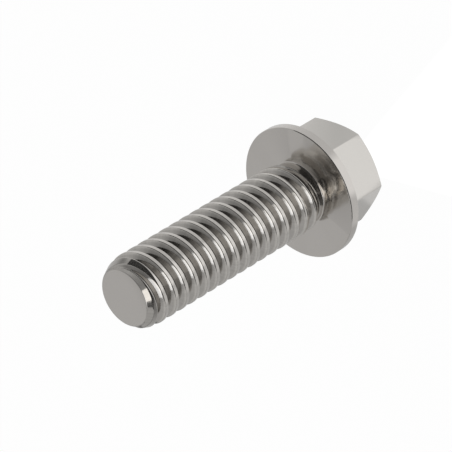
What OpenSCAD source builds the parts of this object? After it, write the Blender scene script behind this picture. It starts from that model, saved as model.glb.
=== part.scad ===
// Hexagon flange screw, standing on its head: the flat top of the head is at z = 0 and the
// screw's axis is +Z, towards the tip. All sizes are in millimetres.

/* [Head] */
// Width across the flats of the hexagon
width_across_flats = 7.9; // [5:0.1:16]
// Height of the whole head, from its top to the face under the flange
head_height = 5.3; // [3:0.05:12]
// Slope of the chamfer round the top of the hexagon, in degrees
head_chamfer_angle = 28; // [15:1:35]
// Diameter of the flat circle left on top of the head
head_top_diameter = 7.5; // [4:0.1:15]
// Width of the small bevel on each upright edge of the hexagon
corner_bevel = 0.05; // [0.02:0.01:0.3]

/* [Flange] */
// Diameter of the flange
flange_diameter = 11.25; // [8:0.05:26]
// Height of the flange's upright rim
flange_rim = 0.8; // [0.4:0.05:2.5]
// Slope of the flange from its rim up to the hexagon, in degrees
flange_slope = 25; // [5:1:35]
// Radius of the rounded edges of the rim
rim_round = 0.08; // [0.03:0.01:0.3]

/* [Shank] */
// Length from the face under the flange to the tip
screw_length = 19.9; // [10:0.1:60]
// Diameter of the plain neck under the flange
neck_diameter = 5.3; // [3:0.05:12]
// Length of the plain neck, up to where the grooves of the thread start
neck_length = 0.45; // [0.4:0.05:6]
// Radius of the rounded corner between the neck and the flange
neck_fillet = 0.4; // [0.1:0.05:0.8]

/* [Thread] */
// Outside diameter of the thread
thread_diameter = 6; // [4:0.05:14]
// Diameter at the bottom of the thread
root_diameter = 4.8; // [3:0.01:12]
// Distance from one ridge to the next
thread_pitch = 1.15; // [0.5:0.01:2]
// Number of ridges that wind round the screw side by side
thread_starts = 2; // [1:1:3]
// Width of the flat on top of a ridge
crest_flat = 0.34; // [0.05:0.01:0.6]
// Length over which the ridges rise out of the neck to their full height
runout_length = 0.8; // [0.3:0.1:4]
// Length over which the grooves sink into the neck to their full depth
groove_runout = 0.2; // [0.1:0.05:4]
// Distance from the tip back to the middle of a ridge, on the +X side
ridge_setback = 1.51; // [0:0.01:2]

/* [Tip] */
// Diameter of the flat face at the tip
tip_diameter = 4.7; // [2:0.05:12]
// Slope of the chamfer at the tip, in degrees from the flat face
tip_chamfer_angle = 45; // [20:1:60]

/* [Hidden] */
$fn = 96;
// facets to a turn of the thread
columns = 60;
// how far the threaded rod reaches into the neck, and past the tip before it is cut
rod_overlap = 0.3;
rod_excess = 0.5;
// how much narrower than the neck the thread starts
neck_step = 0.03;

tip_z = head_height + screw_length;
neck_top = head_height + neck_length;
neck_r = neck_diameter / 2;
crest_r = thread_diameter / 2;
root_r = root_diameter / 2;
lead = thread_pitch * thread_starts;
ridge_z = tip_z - ridge_setback;

// offsets of the four edges of one ridge from its middle, and whether each is on its top
flank_width = min((crest_r - root_r) * tan(30), (thread_pitch - crest_flat) * 0.48);
edges = [
  [-crest_flat / 2 - flank_width, 0],
  [-crest_flat / 2, 1],
  [crest_flat / 2, 1],
  [crest_flat / 2 + flank_width, 0]
];

// the threaded rod starts inside the neck and ends above the tip, where it is cut to shape
rod_low = neck_top - rod_overlap;
rod_high = tip_z + rod_excess;
ridge_first = floor((rod_low - lead - ridge_z) / thread_pitch) - 1;
ridge_last = ceil((rod_high - ridge_z) / thread_pitch) + thread_starts + 1;
row_count = 4 * (ridge_last - ridge_first + 1);
snap = thread_pitch / 40;

function ease(t) = t <= 0 ? 0 : t >= 1 ? 1 : t * t * (3 - 2 * t);
function row_z(j, i) =
  ridge_z + lead * j / columns + thread_pitch * (ridge_first + floor(i / 4)) + edges[i % 4][0];
// ridges rise slowly out of the neck, while the grooves beside them are soon at full depth
function row_r(j, i) =
  let(
    on_ridge = edges[i % 4][1] == 1,
    full = on_ridge ? crest_r : root_r,
    runout = on_ridge ? runout_length : groove_runout,
    start = neck_r - neck_step
  )
  start + (full - start) * ease((row_z(j, i) - neck_top) / runout);
function ring_point(j, r, z) = [r * cos(360 * j / columns), r * sin(360 * j / columns), z];

function is_low(j, i) = row_z(j, i) < rod_low + snap;
function is_high(j, i) = row_z(j, i) > rod_high - snap;
// number of the point at a column and row, with the rows past either end gathered on its ring
function point_id(j, i) =
  j == columns ? point_id(0, min(i + 4 * thread_starts, row_count - 1))
  : is_low(j, i) ? columns * row_count + j
  : is_high(j, i) ? columns * row_count + columns + j
  : j * row_count + i;
function distinct(t) = t[0] != t[1] && t[1] != t[2] && t[0] != t[2];

rod_points = concat(
  [for (j = [0:columns - 1]) for (i = [0:row_count - 1]) ring_point(j, row_r(j, i), row_z(j, i))],
  [for (j = [0:columns - 1]) ring_point(j, neck_r - neck_step, rod_low)],
  [for (j = [0:columns - 1]) ring_point(j, root_r, rod_high)]
);
rod_faces = concat(
  [for (j = [0:columns - 1]) for (i = [0:row_count - 2])
    for (t = [
      [point_id(j, i), point_id(j, i + 1), point_id(j + 1, i)],
      [point_id(j + 1, i), point_id(j, i + 1), point_id(j + 1, i + 1)]
    ]) if (distinct(t)) t],
  [[for (j = [0:columns - 1]) columns * row_count + j]],
  [[for (j = [columns - 1:-1:0]) columns * row_count + columns + j]]
);

// the rod between the neck and the tip, with the tip's face and chamfer cut
module threaded_rod() {
  reach = crest_r - tip_diameter / 2 + 2 * rod_excess;
  difference() {
    polyhedron(points = rod_points, faces = rod_faces, convexity = 10);
    rotate_extrude()
      polygon([
        [0, tip_z],
        [tip_diameter / 2, tip_z],
        [tip_diameter / 2 + reach, tip_z - reach * tan(tip_chamfer_angle)],
        [tip_diameter / 2 + reach, rod_high + rod_excess],
        [0, rod_high + rod_excess]
      ]);
  }
}

// hexagon with the chamfer round its top and small bevels on its upright edges
module hexagon() {
  corner_r = width_across_flats / sqrt(3);
  top_r = head_top_diameter / 2;
  wide = corner_r * 1.2;
  intersection() {
    cylinder(r = corner_r, h = head_height - flange_rim / 2, $fn = 6);
    cylinder(r = corner_r - corner_bevel, h = head_height);
    rotate_extrude()
      polygon([
        [0, 0],
        [top_r, 0],
        [wide, (wide - top_r) * tan(head_chamfer_angle)],
        [wide, head_height],
        [0, head_height]
      ]);
  }
}

// flange with its rounded rim, the fillet under the head and the plain neck, as one turned form
module flange_and_neck() {
  rim_r = flange_diameter / 2;
  rim_low = head_height - flange_rim;
  inner_r = width_across_flats * 0.44;
  rotate_extrude()
    difference() {
      union() {
        polygon([
          [0, rim_low - (rim_r - rim_round - inner_r) * tan(flange_slope)],
          [inner_r, rim_low - (rim_r - rim_round - inner_r) * tan(flange_slope)],
          [rim_r - rim_round, rim_low],
          [rim_r - rim_round, head_height],
          [neck_r + neck_fillet, head_height],
          [neck_r, head_height + neck_fillet],
          [neck_r, neck_top],
          [0, neck_top]
        ]);
        translate([neck_r, head_height])
          square([neck_fillet, neck_fillet]);
        translate([rim_r - rim_round * 2, rim_low + rim_round])
          square([rim_round * 2, flange_rim - 2 * rim_round]);
        translate([rim_r - rim_round, rim_low + rim_round])
          circle(r = rim_round);
        translate([rim_r - rim_round, head_height - rim_round])
          circle(r = rim_round);
      }
      translate([neck_r + neck_fillet, head_height + neck_fillet])
        circle(r = neck_fillet);
    }
}

module flange_screw() {
  color([0.72, 0.71, 0.69]) {
    union() {
      hexagon();
      flange_and_neck();
      threaded_rod();
    }
  }
}

flange_screw();
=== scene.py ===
import math

import bmesh
import bpy
import numpy as np
from mathutils import Matrix, Quaternion, Vector


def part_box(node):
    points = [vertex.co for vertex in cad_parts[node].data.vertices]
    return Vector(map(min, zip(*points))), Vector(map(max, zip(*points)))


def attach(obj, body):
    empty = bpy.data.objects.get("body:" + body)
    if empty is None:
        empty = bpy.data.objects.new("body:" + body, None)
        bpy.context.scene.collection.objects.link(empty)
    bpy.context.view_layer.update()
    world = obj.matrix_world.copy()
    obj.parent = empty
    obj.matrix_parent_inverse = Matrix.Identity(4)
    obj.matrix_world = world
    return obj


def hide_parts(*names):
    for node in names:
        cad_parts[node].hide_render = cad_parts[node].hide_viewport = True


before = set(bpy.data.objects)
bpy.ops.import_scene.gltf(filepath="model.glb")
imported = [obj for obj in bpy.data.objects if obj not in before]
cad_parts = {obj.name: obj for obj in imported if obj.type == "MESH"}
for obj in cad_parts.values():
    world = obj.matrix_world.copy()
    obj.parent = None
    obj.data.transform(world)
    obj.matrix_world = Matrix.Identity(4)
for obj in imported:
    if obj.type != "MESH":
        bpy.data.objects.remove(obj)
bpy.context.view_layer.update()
print("frame loaded")

mm = 0.001
lowCorner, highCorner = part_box("flange_screw")

# sizes of the screw in millimetres and degrees, its length and flange taken from the frame
screw = {
    "tipHeight": highCorner.z / mm,
    "flangeDiameter": (highCorner.x - lowCorner.x) / mm,
    "acrossFlats": 7.9,
    "cornerRound": 0.08,
    "headHeight": 5.3,
    "headTopDiameter": 7.5,
    "headTopRound": 0.05,
    "headChamfer": 28,
    "chamferRound": 0.07,
    "hexagonFillet": 0.15,
    "rimHeight": 0.8,
    "rimRound": 0.08,
    "rimEdge": (0.04, 0.07),  # small bevel of the rim's lower edge, inwards and along the axis
    "rimEdgeRound": 0.02,
    "flangeSlope": 25,
    "neckDiameter": 5.3,
    "neckLength": 0.30,
    "neckFillet": 0.10,
    "threadDiameter": 6.0,
    "rootDiameter": 4.80,
    "pitch": 1.15,  # between neighbouring ridges
    "starts": 2,
    "crestWidth": 0.34,
    "crestRound": 0.13,
    "rootRound": 0.08,
    "flankAngle": 30,
    "ridgeStart": 0.70,  # above the bearing face
    "ridgeRunout": 0.40,
    "grooveRunout": 0.18,
    "ridgeSetback": 1.51,  # of a ridge's middle from the tip, at angle 0
    "tipDiameter": 4.7,
    "tipChamfer": 45,
    "tipRound": 0.05,
    "tipRoundMiddle": (0.1, 0.12),  # in and down from the corner, as shares of the rounding
    "fadeLength": 1.2,
    "fadedRadii": (2.40, 2.58),  # of the two ridges at the tip
    "wornWidth": 0.03,  # cuts closer to each other than this soften the edge between them
}

# how finely the screw is meshed
fineness = {
    "columnsAtCorner": 5,
    "columnsOnFlat": 25,
    "arcPoints": 5,
    "neckZone": 1.4,
    "tipZone": 1.35,
    "ringStep": 0.025,
    "snap": 0.012,  # a thread row this close to the ring where the helix ends runs into that ring
    "faceRing": 0.5,  # where the ring on a flat end lies, as a share of its radius
    "normalWeight": 100,
}


def slopeOf(degrees):
    return math.tan(math.radians(degrees))


def unitAt(angle):
    return np.array([math.cos(angle), math.sin(angle)])


# angle and distance from the axis of each column round the screw: six flats with rounded corners
def hexagonColumns():
    bend = screw["cornerRound"]
    middleReach = (screw["acrossFlats"] / 2 - bend) / math.cos(math.radians(30))
    points = []
    for side in range(6):
        corner = math.radians(60 * side)
        middle = unitAt(corner) * middleReach
        nextMiddle = unitAt(corner + math.pi / 3) * middleReach
        for turn in np.radians(np.linspace(-30, 30, fineness["columnsAtCorner"])):
            points.append(middle + bend * unitAt(corner + turn))
        outward = bend * unitAt(corner + math.pi / 6)
        for share in np.linspace(0, 1, fineness["columnsOnFlat"] + 2)[1:-1]:
            points.append(middle + outward + (nextMiddle - middle) * share)
    points = np.array(points)
    return np.unwrap(np.arctan2(points[:, 1], points[:, 0])), np.hypot(points[:, 0], points[:, 1])


# points of a path whose corners are rounded; corners are (places, radius), places one per column
def roundedPath(corners, arcPoints):
    path = [corners[0][0]]
    for before, (corner, radius), after in zip(corners, corners[1:-1], corners[2:]):
        back = before[0] - corner
        back = back / np.linalg.norm(back, axis=1, keepdims=True)
        onward = after[0] - corner
        onward = onward / np.linalg.norm(onward, axis=1, keepdims=True)
        between = np.arccos(np.clip((back * onward).sum(1), -1, 1))[:, None]
        bisector = (back + onward) / np.linalg.norm(back + onward, axis=1, keepdims=True)
        centre = corner + bisector * radius / np.sin(between / 2)
        first = corner + back * radius / np.tan(between / 2) - centre
        last = corner + onward * radius / np.tan(between / 2) - centre
        sweep = math.pi - between
        for share in np.linspace(0, 1, arcPoints):
            arc = np.sin((1 - share) * sweep) * first + np.sin(share * sweep) * last
            path.append(centre + arc / np.sin(sweep))
    path.append(corners[-1][0])
    return path


# the outline from the middle of the head's top, over hexagon and flange, to the end of the neck
def headPath(reach):
    count = len(reach)
    rimReach = screw["flangeDiameter"] / 2
    topReach = screw["headTopDiameter"] / 2
    neckReach = screw["neckDiameter"] / 2
    rimTop = screw["headHeight"] - screw["rimHeight"]
    slope = slopeOf(screw["flangeSlope"])
    bevelIn, bevelUp = screw["rimEdge"]

    def place(distance, height):
        return np.stack([np.broadcast_to(distance, count), np.broadcast_to(height, count)], axis=1)

    corners = [
        (place(topReach * fineness["faceRing"], 0.0), 0),
        (place(topReach, 0.0), screw["headTopRound"]),
        (place(reach, (reach - topReach) * slopeOf(screw["headChamfer"])), screw["chamferRound"]),
        (place(reach, rimTop - (rimReach - reach) * slope), screw["hexagonFillet"]),
        (place(rimReach, rimTop), screw["rimRound"]),
        (place(rimReach, screw["headHeight"] - bevelUp), screw["rimEdgeRound"]),
        (place(rimReach - bevelIn, screw["headHeight"]), screw["rimEdgeRound"]),
        (place(neckReach, screw["headHeight"]), screw["neckFillet"]),
        (place(neckReach, neckTop), 0),
    ]
    return roundedPath(corners, fineness["arcPoints"])


# one period of the thread as (offset from the ridge's middle, radius), from root to root
def ridgeProfile():
    crest = screw["threadDiameter"] / 2
    root = screw["rootDiameter"] / 2
    half = screw["crestWidth"] / 2
    foot = half + (crest - root) * slopeOf(screw["flankAngle"])
    halfPitch = screw["pitch"] / 2

    def place(offset, radius):
        return np.array([[offset, radius]])

    rising = roundedPath([
        (place(-halfPitch, root), 0),
        (place(-foot, root), screw["rootRound"]),
        (place(-half, crest), screw["crestRound"]),
        (place(0.0, crest), 0),
    ], fineness["arcPoints"])
    rising = np.concatenate(rising)
    falling = rising[-2:0:-1] * [-1, 1]
    return np.concatenate([rising, falling])


neckTop = screw["headHeight"] + screw["neckLength"]
threadStart = screw["headHeight"] + fineness["neckZone"]
tipStart = screw["tipHeight"] - fineness["tipZone"]
lead = screw["pitch"] * screw["starts"]
columnAngle, columnReach = hexagonColumns()
columnCount = len(columnAngle)
profile = ridgeProfile()


def ridgeHeight(angle):
    return screw["tipHeight"] - screw["ridgeSetback"] + lead * angle / (2 * math.pi)


def ease(share):
    share = np.clip(share, 0, 1)
    return share * share * (3 - 2 * share)


# the grooves are soon at full depth beside the neck, while the ridges rise slowly out of it
def blendWithNeck(radius, height):
    neck = screw["neckDiameter"] / 2
    rise = ease((height - screw["headHeight"] - screw["ridgeStart"]) / screw["ridgeRunout"])
    sink = ease((height - neckTop) / screw["grooveRunout"])
    return neck + np.maximum(radius - neck, 0) * rise + np.minimum(radius - neck, 0) * sink


def threadRadius(angle, height):
    pitch = screw["pitch"]
    offset = (height - ridgeHeight(angle) + pitch / 2) % pitch - pitch / 2
    closed = np.concatenate([profile, [[pitch / 2, profile[0, 1]]]])
    return blendWithNeck(np.interp(offset, closed[:, 0], closed[:, 1]), height)


# the smaller of two radii, with the edge between them a little worn
def wornEdge(one, other):
    soft = screw["wornWidth"]
    apart = np.abs(one - other)
    return np.minimum(one, other) - np.where(apart < soft, (soft - apart) ** 2 / (4 * soft), 0)


# the tip's chamfer cuts the thread, whose two ridges fade towards it, one lower than the other
def tipRadius(angle, height):
    drop = screw["tipHeight"] - height
    chamfer = screw["tipDiameter"] / 2 + drop / slopeOf(screw["tipChamfer"])
    firstRidge = np.round((height - ridgeHeight(angle)) / screw["pitch"]) % 2 == 0
    faded = np.where(firstRidge, *screw["fadedRadii"])
    fade = faded + (screw["threadDiameter"] / 2 - faded) * drop / screw["fadeLength"]
    return wornEdge(wornEdge(threadRadius(angle, height), fade), chamfer)


# the mesh as points, and faces that each know their finish, by its place in steelFinishes
points = []
faces = []
finishes = []
head, turnedFace, thread = 0, 1, 2


def addPoint(radius, angle, height):
    points.append((radius * math.cos(angle) * mm, radius * math.sin(angle) * mm, height * mm))
    return len(points) - 1


def addRing(radius, height):
    radius = np.broadcast_to(radius, columnCount)
    height = np.broadcast_to(height, columnCount)
    return [addPoint(r, a, z) for a, r, z in zip(columnAngle, radius, height)]


def addFace(corners, finish):
    kept = [c for i, c in enumerate(corners) if c != corners[i - 1]]
    if len(set(kept)) >= 3:
        faces.append(tuple(dict.fromkeys(kept)))
        finishes.append(finish)


def joinRings(lower, upper, finish):
    for j in range(columnCount):
        k = (j + 1) % columnCount
        addFace((lower[j], lower[k], upper[k], upper[j]), finish)


def addCap(ring, height, finish):
    points.append((0.0, 0.0, height * mm))
    for j in range(columnCount):
        addFace((ring[j], ring[(j + 1) % columnCount], len(points) - 1), finish)


# head, flange and neck; the head's finish ends in the middle of the fillet below the hexagon
rings = [addRing(place[:, 0], place[:, 1]) for place in headPath(columnReach)]
addCap(rings[0], 0.0, head)
lastOfHead = 1 + 2 * fineness["arcPoints"] + fineness["arcPoints"] // 2
for number, (lower, upper) in enumerate(zip(rings, rings[1:])):
    joinRings(lower, upper, head if number < lastOfHead else turnedFace)
print("head and flange meshed:", len(points), "points")

# straight rows where the thread starts in the neck
lower = rings[-1]
neckRows = round((threadStart - neckTop) / fineness["ringStep"])
for height in np.linspace(neckTop, threadStart, neckRows + 1)[1:]:
    upper = addRing(threadRadius(columnAngle, height), height)
    joinRings(lower, upper, thread)
    lower = upper
threadRing = lower

# thread, its rows following the helix between the neck and the tip zone
tipRing = addRing(tipRadius(columnAngle, tipStart), tipStart)
rowsPerPitch = len(profile)
pitch = screw["pitch"]
lowestRidge = math.floor((threadStart - ridgeHeight(columnAngle[-1])) / pitch) - 1
highestRidge = math.ceil((tipStart - ridgeHeight(columnAngle[0])) / pitch) + 1
ridges = range(lowestRidge, highestRidge + 1)
rowOffset = np.concatenate([profile[:, 0] + pitch * ridge for ridge in ridges])
rowRadius = np.tile(profile[:, 1], len(ridges))
pointAt = {}


def rowPoint(column, row):
    if column == columnCount:
        column, row = 0, row + rowsPerPitch * screw["starts"]
    if row >= len(rowOffset):
        return tipRing[column]
    angle = columnAngle[column]
    height = ridgeHeight(angle) + rowOffset[row]
    if height < threadStart + fineness["snap"]:
        return threadRing[column]
    if height > tipStart - fineness["snap"]:
        return tipRing[column]
    if (column, row) not in pointAt:
        pointAt[column, row] = addPoint(float(blendWithNeck(rowRadius[row], height)), angle, height)
    return pointAt[column, row]


for column in range(columnCount):
    for row in range(len(rowOffset) - 1):
        corners = (rowPoint(column, row), rowPoint(column + 1, row),
                   rowPoint(column + 1, row + 1), rowPoint(column, row + 1))
        addFace(corners, thread)
print("thread meshed:", len(points), "points")

# tip, with straight rows up to its flat face
lower = tipRing
highestRow = screw["tipHeight"] - screw["tipRound"] / 2
for height in np.arange(tipStart + fineness["ringStep"], highestRow, fineness["ringStep"]):
    upper = addRing(tipRadius(columnAngle, height), height)
    joinRings(lower, upper, thread)
    lower = upper
tipReach = screw["tipDiameter"] / 2
inwards, downwards = (screw["tipRound"] * share for share in screw["tipRoundMiddle"])
edge = addRing(tipReach - inwards, screw["tipHeight"] - downwards)
joinRings(lower, edge, thread)
inner = addRing(tipReach - screw["tipRound"], screw["tipHeight"])
joinRings(edge, inner, turnedFace)
middle = addRing(tipReach * fineness["faceRing"], screw["tipHeight"])
joinRings(inner, middle, turnedFace)
addCap(middle, screw["tipHeight"], turnedFace)

mesh = bpy.data.meshes.new("flangeScrew")
mesh.from_pydata(points, [], faces)
mesh.polygons.foreach_set("material_index", finishes)
shape = bmesh.new()
shape.from_mesh(mesh)
bmesh.ops.recalc_face_normals(shape, faces=shape.faces)
openEdges = sum(1 for e in shape.edges if not e.is_manifold)
shape.to_mesh(mesh)
shape.free()
mesh.shade_smooth()
flangeScrew = bpy.data.objects.new("flangeScrew", mesh)
bpy.context.collection.objects.link(flangeScrew)
evenNormals = flangeScrew.modifiers.new("evenNormals", "WEIGHTED_NORMAL")
evenNormals.weight = fineness["normalWeight"]
triangles = sum(len(f) - 2 for f in faces)
print("screw meshed:", triangles, "triangles,", openEdges, "open edges")

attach(flangeScrew, "root")
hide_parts("flange_screw")

# the three finishes of the steel: colours are (dark, light), grain is per radian or per metre,
# and the thread's painted groove shade is full at the first of its groove depths and ends at the
# second, both in millimetres below the crest
steelFinishes = {
    "formedHexagon": {
        "colours": ((0.640, 0.619, 0.588), (0.690, 0.668, 0.635)),
        "roughness": (0.17, 0.23),
        "grain": (40, 2500, 1500),
        "bump": 0.01,
    },
    "turnedFaces": {
        "colours": ((0.615, 0.590, 0.560), (0.650, 0.624, 0.592)),
        "roughness": (0.13, 0.18),
        "grain": (2, 600, 9000),
        "bump": 0.008,
    },
    "rolledThread": {
        "colours": ((0.550, 0.528, 0.497), (0.750, 0.722, 0.683)),
        "roughness": (0.07, 0.16),
        "grain": (16, 350, 300),
        "bump": 0.03,
        # painted shade: how dark the thread's colour is made deep in the grooves
        "grooveShadeTone": 0.78,
        "grooveShadeDepths": (0.22, 0.06),
    },
}
grainDetail = 3.0
bumpDistance = 0.1 * mm


def addMath(nodes, operation, kind="ShaderNodeMath"):
    node = nodes.new(kind)
    node.operation = operation
    return node


def addVectorMath(nodes, operation):
    return addMath(nodes, operation, "ShaderNodeVectorMath")


# fine marks that follow the screw's axis: how quickly they change round it, along it and outwards
def steelGrain():
    group = bpy.data.node_groups.new("steelGrain", "ShaderNodeTree")
    sockets = group.interface
    for name in ("Around", "Along", "Outward"):
        socket = sockets.new_socket(name=name, in_out="INPUT", socket_type="NodeSocketFloat")
        socket.default_value = 1.0
    sockets.new_socket(name="Tone", in_out="OUTPUT", socket_type="NodeSocketFloat")
    nodes, links = group.nodes, group.links
    entry = nodes.new("NodeGroupInput")
    leave = nodes.new("NodeGroupOutput")
    place = nodes.new("ShaderNodeTexCoord")
    split = nodes.new("ShaderNodeSeparateXYZ")
    links.new(place.outputs["Object"], split.inputs[0])
    flat = nodes.new("ShaderNodeCombineXYZ")
    links.new(split.outputs["X"], flat.inputs["X"])
    links.new(split.outputs["Y"], flat.inputs["Y"])
    direction = addVectorMath(nodes, "NORMALIZE")
    links.new(flat.outputs[0], direction.inputs[0])
    around = addVectorMath(nodes, "SCALE")
    links.new(direction.outputs[0], around.inputs[0])
    links.new(entry.outputs["Around"], around.inputs["Scale"])
    along = addMath(nodes, "MULTIPLY")
    links.new(split.outputs["Z"], along.inputs[0])
    links.new(entry.outputs["Along"], along.inputs[1])
    lift = nodes.new("ShaderNodeCombineXYZ")
    links.new(along.outputs[0], lift.inputs["Z"])
    where = addVectorMath(nodes, "ADD")
    links.new(around.outputs[0], where.inputs[0])
    links.new(lift.outputs[0], where.inputs[1])
    distance = addVectorMath(nodes, "LENGTH")
    links.new(flat.outputs[0], distance.inputs[0])
    outward = addMath(nodes, "MULTIPLY")
    links.new(distance.outputs["Value"], outward.inputs[0])
    links.new(entry.outputs["Outward"], outward.inputs[1])
    noise = nodes.new("ShaderNodeTexNoise")
    noise.noise_dimensions = "4D"
    noise.inputs["Scale"].default_value = 1.0
    noise.inputs["Detail"].default_value = grainDetail
    links.new(where.outputs[0], noise.inputs["Vector"])
    links.new(outward.outputs[0], noise.inputs["W"])
    links.new(noise.outputs["Fac"], leave.inputs["Tone"])
    return group


# painted shade: the thread's colour is made a little darker down in the grooves, full at the crests
def paintedGrooveShade(nodes, links, steel, finish):
    crest = screw["threadDiameter"] / 2
    deep, shallow = finish["grooveShadeDepths"]
    place = nodes.new("ShaderNodeTexCoord")
    flat = addVectorMath(nodes, "MULTIPLY")
    flat.inputs[1].default_value = (1, 1, 0)
    links.new(place.outputs["Object"], flat.inputs[0])
    distance = addVectorMath(nodes, "LENGTH")
    links.new(flat.outputs[0], distance.inputs[0])
    shade = nodes.new("ShaderNodeMapRange")
    shade.interpolation_type = "SMOOTHSTEP"
    shade.inputs["From Min"].default_value = (crest - deep) * mm
    shade.inputs["From Max"].default_value = (crest - shallow) * mm
    shade.inputs["To Min"].default_value = finish["grooveShadeTone"]
    links.new(distance.outputs["Value"], shade.inputs["Value"])
    darker = addVectorMath(nodes, "SCALE")
    links.new(steel, darker.inputs[0])
    links.new(shade.outputs["Result"], darker.inputs["Scale"])
    return darker.outputs[0]


def steelMaterial(name, grainGroup):
    finish = steelFinishes[name]
    material = bpy.data.materials.new(name)
    material.use_nodes = True
    nodes, links = material.node_tree.nodes, material.node_tree.links
    shader = nodes["Principled BSDF"]
    shader.inputs["Metallic"].default_value = 1.0
    grain = nodes.new("ShaderNodeGroup")
    grain.node_tree = grainGroup
    for socket, value in zip(("Around", "Along", "Outward"), finish["grain"]):
        grain.inputs[socket].default_value = value
    colour = nodes.new("ShaderNodeMix")
    colour.data_type = "RGBA"
    dark, light = finish["colours"]
    colour.inputs["A"].default_value = (*dark, 1)
    colour.inputs["B"].default_value = (*light, 1)
    links.new(grain.outputs["Tone"], colour.inputs["Factor"])
    steel = colour.outputs["Result"]
    # painted shade down in the thread's grooves
    if "grooveShadeTone" in finish:
        steel = paintedGrooveShade(nodes, links, steel, finish)
    links.new(steel, shader.inputs["Base Color"])
    rough = nodes.new("ShaderNodeMapRange")
    rough.inputs["To Min"].default_value, rough.inputs["To Max"].default_value = finish["roughness"]
    links.new(grain.outputs["Tone"], rough.inputs["Value"])
    links.new(rough.outputs["Result"], shader.inputs["Roughness"])
    bump = nodes.new("ShaderNodeBump")
    bump.inputs["Strength"].default_value = finish["bump"]
    bump.inputs["Distance"].default_value = bumpDistance
    links.new(grain.outputs["Tone"], bump.inputs["Height"])
    links.new(bump.outputs["Normal"], shader.inputs["Normal"])
    return material


grainGroup = steelGrain()
for name in steelFinishes:
    mesh.materials.append(steelMaterial(name, grainGroup))
print("steel finishes made")

# floor, lights and surroundings: directions are (azimuth from the photograph's view, elevation)
# in degrees, distances and sizes in metres
studio = {
    "floorWidth": 6.0,
    "floorColour": (0.90, 0.90, 0.90),
    "whiteToCamera": 0.975,
    # share of the floor's painted light and shade that the steel sees
    "paintedLightToMetal": 0.85,
    "toneOfWhite": 1.1,  # the brightness that white stands for in the floor's ramp
    # (degrees round the screw from straight behind it, brightness of the painted light and shade
    # that the floor shows to the steel)
    "paintedFloorTones": (
        (0, 0.60), (39, 0.52), (66, 0.50), (96, 0.53), (103, 0.70), (110, 0.72),
        (138, 0.70), (148, 1.09), (190, 1.09), (202, 0.70), (235, 0.68), (256, 0.75),
        (272, 0.84), (285, 0.84), (320, 0.68), (360, 0.60),
    ),
    # a painted pool of light on the floor: full out to the first radius, fading to the edge tone at
    # the second
    "paintedPoolRadius": (0.045, 0.25),
    "paintedPoolEdgeTone": 0.35,
    # (sine of the elevation, tone)
    "wallTones": ((0.0, 0.52), (0.64, 0.57), (0.76, 0.44), (0.84, 0.30), (0.95, 0.27), (1.0, 0.20)),
    "softBoxes": (
        {"direction": (-83, 68.6), "distance": 0.9, "size": (0.42, 0.48), "brightness": 1.15,
         "colour": (0.95, 0.97, 1.0)},
        {"direction": (-39, 54.5), "distance": 0.9, "size": (0.36, 0.48), "brightness": 1.3,
         "colour": (1.0, 0.98, 0.94)},
    ),
    "cards": (
        {"top": ((-57, 36), (-45, 36), (-30, 44), (-11, 50), (10, 52), (50, 48)),
         "distance": 0.8, "colour": 0.07},
        {"top": ((-80, 44), (-57, 46)), "distance": 0.8, "colour": 0.20},
        {"top": ((50, 46), (70, 40), (89, 30)), "distance": 0.8, "colour": 0.10},
    ),
    "cardFoot": 0.5,  # elevation of a card's lower edge
    "cardColumns": 25,
}

# the view of the photograph, with distances in millimetres but for the clipping, in metres
view = {
    "azimuth": 40.373,
    "elevation": 38.06,
    "distance": 255.296,
    "target": (-0.459, 0.540, 13.261),
    "roll": 121.06,
    "lens": 260.96,
    "sensor": 36.0,
    "clip": (0.01, 20),
}


def directionTo(azimuth, elevation):
    turn = math.radians(view["azimuth"] + azimuth)
    rise = math.radians(elevation)
    level = math.cos(rise)
    return Vector((math.cos(turn) * level, math.sin(turn) * level, math.sin(rise)))


def fillRamp(ramp, stops):
    elements = ramp.color_ramp.elements
    while len(elements) < len(stops):
        elements.new(1.0)
    for element, (place, tone) in zip(elements, stops):
        element.position = place
        element.color = (tone, tone, tone, 1)


# painted light and shade on the floor, seen by the steel: brighter or darker by its bearing from
# the screw, and less away from a painted pool of light; to the camera it is never darker than white
def paintedFloorLight(nodes, links):
    brightest = studio["toneOfWhite"]
    place = nodes.new("ShaderNodeTexCoord")
    turned = nodes.new("ShaderNodeVectorRotate")
    turned.rotation_type = "Z_AXIS"
    turned.inputs["Angle"].default_value = -math.radians(view["azimuth"])
    links.new(place.outputs["Object"], turned.inputs["Vector"])
    split = nodes.new("ShaderNodeSeparateXYZ")
    links.new(turned.outputs["Vector"], split.inputs[0])
    bearing = addMath(nodes, "ARCTAN2")
    links.new(split.outputs["Y"], bearing.inputs[0])
    links.new(split.outputs["X"], bearing.inputs[1])
    share = nodes.new("ShaderNodeMapRange")
    share.inputs["From Min"].default_value = -math.pi
    share.inputs["From Max"].default_value = math.pi
    links.new(bearing.outputs[0], share.inputs["Value"])
    ramp = nodes.new("ShaderNodeValToRGB")
    fillRamp(ramp, [(turn / 360, tone / brightest) for turn, tone in studio["paintedFloorTones"]])
    links.new(share.outputs["Result"], ramp.inputs["Fac"])
    distance = addVectorMath(nodes, "LENGTH")
    links.new(place.outputs["Object"], distance.inputs[0])
    pool = nodes.new("ShaderNodeMapRange")
    pool.interpolation_type = "SMOOTHSTEP"
    fromNear, toFar = studio["paintedPoolRadius"]
    pool.inputs["From Min"].default_value = fromNear
    pool.inputs["From Max"].default_value = toFar
    pool.inputs["To Min"].default_value = brightest
    pool.inputs["To Max"].default_value = brightest * studio["paintedPoolEdgeTone"]
    links.new(distance.outputs["Value"], pool.inputs["Value"])
    tone = addMath(nodes, "MULTIPLY")
    links.new(ramp.outputs["Color"], tone.inputs[0])
    links.new(pool.outputs["Result"], tone.inputs[1])
    rays = nodes.new("ShaderNodeLightPath")
    plain = addMath(nodes, "MAXIMUM")
    links.new(rays.outputs["Is Camera Ray"], plain.inputs[0])
    links.new(tone.outputs[0], plain.inputs[1])
    return plain.outputs[0]


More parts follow.
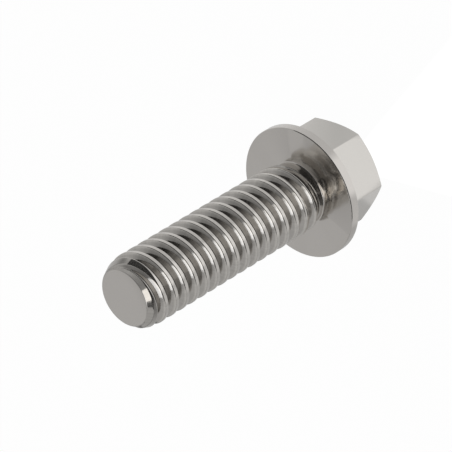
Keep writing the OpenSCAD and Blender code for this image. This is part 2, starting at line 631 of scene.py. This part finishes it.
def makeFloor():
    half = studio["floorWidth"] / 2
    corners = [(-half, -half, 0), (half, -half, 0), (half, half, 0), (-half, half, 0)]
    floorMesh = bpy.data.meshes.new("floor")
    floorMesh.from_pydata(corners, [], [(0, 1, 2, 3)])
    floor = bpy.data.objects.new("floor", floorMesh)
    bpy.context.collection.objects.link(floor)
    material = bpy.data.materials.new("paleFloor")
    material.use_nodes = True
    nodes, links = material.node_tree.nodes, material.node_tree.links
    nodes.remove(nodes["Principled BSDF"])
    lit = nodes.new("ShaderNodeBsdfDiffuse")
    lit.inputs["Color"].default_value = (*studio["floorColour"], 1)
    # the floor's glow: white to the camera, painted light and shade to the steel
    whiteAndPaintedLight = nodes.new("ShaderNodeEmission")
    links.new(paintedFloorLight(nodes, links), whiteAndPaintedLight.inputs["Strength"])
    rays = nodes.new("ShaderNodeLightPath")
    metalShare = addMath(nodes, "MULTIPLY")
    metalShare.inputs[1].default_value = studio["paintedLightToMetal"]
    links.new(rays.outputs["Is Glossy Ray"], metalShare.inputs[0])
    share = addMath(nodes, "MULTIPLY_ADD")
    share.inputs[1].default_value = studio["whiteToCamera"]
    links.new(rays.outputs["Is Camera Ray"], share.inputs[0])
    links.new(metalShare.outputs[0], share.inputs[2])
    mix = nodes.new("ShaderNodeMixShader")
    links.new(share.outputs[0], mix.inputs["Fac"])
    links.new(lit.outputs[0], mix.inputs[1])
    links.new(whiteAndPaintedLight.outputs[0], mix.inputs[2])
    links.new(mix.outputs[0], nodes["Material Output"].inputs["Surface"])
    floorMesh.materials.append(material)


# walls and ceiling of the studio as one soft fade, pale low down and darker overhead
def makeWorld():
    world = bpy.data.worlds.new("studioRoom")
    world.use_nodes = True
    nodes, links = world.node_tree.nodes, world.node_tree.links
    place = nodes.new("ShaderNodeTexCoord")
    split = nodes.new("ShaderNodeSeparateXYZ")
    ramp = nodes.new("ShaderNodeValToRGB")
    fillRamp(ramp, studio["wallTones"])
    links.new(place.outputs["Generated"], split.inputs[0])
    links.new(split.outputs["Z"], ramp.inputs["Fac"])
    links.new(ramp.outputs["Color"], nodes["Background"].inputs["Color"])
    bpy.context.scene.world = world


# a soft box high beside the camera; its width runs from behind the screw towards the camera
def makeSoftBox(settings):
    lamp = bpy.data.lights.new("softBox", "AREA")
    lamp.shape = "RECTANGLE"
    lamp.size, lamp.size_y = settings["size"]
    lamp.energy = settings["brightness"] * math.pi * lamp.size * lamp.size_y
    lamp.color = settings["colour"]
    box = bpy.data.objects.new("softBox", lamp)
    bpy.context.collection.objects.link(box)
    direction = directionTo(*settings["direction"])
    box.location = direction * settings["distance"]
    across = directionTo(90, 0).cross(direction).normalized()
    facing = Matrix((across, direction.cross(across), direction)).transposed()
    box.rotation_euler = facing.to_euler()


# a card that gives the steel a dark reflection and is otherwise unseen; top is its upper edge
def makeCard(settings):
    bearings, tops = zip(*settings["top"])
    turns = np.linspace(bearings[0], bearings[-1], studio["cardColumns"])
    corners = []
    for turn, top in zip(turns, np.interp(turns, bearings, tops)):
        for rise in (studio["cardFoot"], top):
            corners.append(directionTo(turn, rise) * settings["distance"])
    strips = [(2 * i, 2 * i + 2, 2 * i + 3, 2 * i + 1) for i in range(len(turns) - 1)]
    cardMesh = bpy.data.meshes.new("card")
    cardMesh.from_pydata(corners, [], strips)
    card = bpy.data.objects.new("card", cardMesh)
    bpy.context.collection.objects.link(card)
    card.visible_camera = False
    card.visible_diffuse = False
    card.visible_shadow = False
    material = bpy.data.materials.new("card")
    material.use_nodes = True
    shader = material.node_tree.nodes["Principled BSDF"]
    shader.inputs["Base Color"].default_value = (*[settings["colour"]] * 3, 1)
    shader.inputs["Roughness"].default_value = 1.0
    cardMesh.materials.append(material)


def makeCamera():
    lens = bpy.data.cameras.new("camera")
    lens.lens = view["lens"]
    lens.sensor_width = view["sensor"]
    lens.sensor_fit = "AUTO"
    lens.clip_start, lens.clip_end = view["clip"]
    camera = bpy.data.objects.new("camera", lens)
    bpy.context.collection.objects.link(camera)
    direction = directionTo(0, view["elevation"])
    camera.location = (Vector(view["target"]) + direction * view["distance"]) * mm
    upright = direction.to_track_quat("Z", "Y")
    camera.rotation_mode = "QUATERNION"
    camera.rotation_quaternion = upright @ Quaternion((0, 0, 1), -math.radians(view["roll"]))
    bpy.context.scene.camera = camera


makeFloor()
makeWorld()
for settings in studio["softBoxes"]:
    makeSoftBox(settings)
for settings in studio["cards"]:
    makeCard(settings)
makeCamera()
bpy.context.scene.view_settings.view_transform = "Standard"
print("studio set up")
